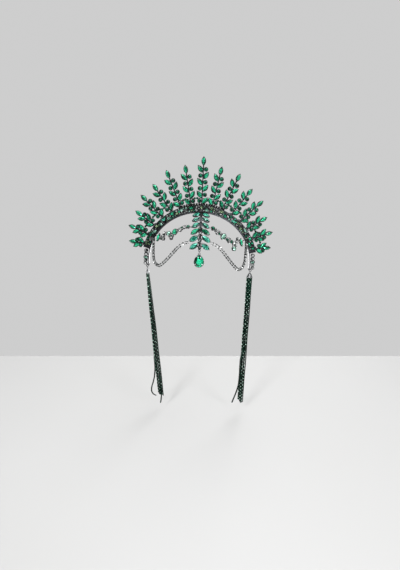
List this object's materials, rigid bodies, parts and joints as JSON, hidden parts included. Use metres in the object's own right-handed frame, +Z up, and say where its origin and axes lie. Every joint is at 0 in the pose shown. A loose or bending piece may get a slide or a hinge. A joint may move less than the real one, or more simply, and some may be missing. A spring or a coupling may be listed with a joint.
{
  "type": "bridal crown",
  "caption": "Dark metal headband with a fan of leaf sprigs in green cut stones, a forehead piece with a pear drop, brow garlands, festoons and long side tassels.",
  "frame": {"origin": "inside top of the headband, in the middle of the arch, where it sits on the head", "axes": "+Z up, -Y to the front over the forehead, +X to the right as seen from the front"},
  "size_m": [0.2106, 0.0548, 0.4138],
  "materials": {
    "dark_metal": "gunmetal plating, semi-gloss",
    "silver_metal": "silver plating, polished",
    "emerald_stone": "foil-backed cut glass",
    "pale_stone": "foil-backed cut glass, mixed clear, pale and dark green",
    "clear_stone": "foil-backed clear cut glass",
    "cup_chain": "silver and hematite cup chain",
    "dark_beads": "fine dark green and black glass beads"
  },
  "bodies": {
    "crown": {"headband": "dark_metal", "band_stones": "pale_stone", "sprig_l7": "dark_metal", "sprig_l6": "dark_metal", "sprig_l5": "dark_metal", "sprig_l4": "dark_metal", "sprig_l3": "dark_metal", "sprig_l2": "dark_metal", "sprig_l1": "dark_metal", "sprig_c": "dark_metal", "sprig_r1": "dark_metal", "sprig_r2": "dark_metal", "sprig_r3": "dark_metal", "sprig_r4": "dark_metal", "sprig_r5": "dark_metal", "sprig_r6": "dark_metal", "sprig_r7": "dark_metal", "stones_l7": "emerald_stone", "stones_l6": "emerald_stone", "stones_l5": "emerald_stone", "stones_l4": "emerald_stone", "stones_l3": "emerald_stone", "stones_l2": "emerald_stone", "stones_l1": "emerald_stone", "stones_c": "emerald_stone", "stones_r1": "emerald_stone", "stones_r2": "emerald_stone", "stones_r3": "emerald_stone", "stones_r4": "emerald_stone", "stones_r5": "emerald_stone", "stones_r6": "emerald_stone", "stones_r7": "emerald_stone", "front_drop": "dark_metal", "leaf_stones": "emerald_stone", "garland_l": "dark_metal", "garland_stones_l": "pale_stone", "festoon_l_upper": "cup_chain", "festoon_l_lower": "cup_chain", "side_frame_l": "dark_metal", "side_stones_l": "clear_stone", "tassel_cap_l": "silver_metal", "tassel_l": "dark_beads", "garland_r": "dark_metal", "garland_stones_r": "pale_stone", "festoon_r_upper": "cup_chain", "festoon_r_lower": "cup_chain", "side_frame_r": "dark_metal", "side_stones_r": "clear_stone", "tassel_cap_r": "silver_metal", "tassel_r": "dark_beads"},
    "ring": {"jump_ring": "dark_metal"},
    "drop": {"pear_setting": "dark_metal", "pear_stone": "emerald_stone"}
  },
  "joints": [
    {"name": "ring_swing", "type": "hinge", "parent": "crown", "child": "ring", "pos_m": [0, -0.0408, -0.04544], "axis": [1, 0, 0], "range_deg": [-45, 45]},
    {"name": "pear_swing", "type": "hinge", "parent": "ring", "child": "drop", "pos_m": [0, -0.0408, -0.04795], "axis": [0, 1, 0], "range_deg": [-30, 30]}
  ]
}
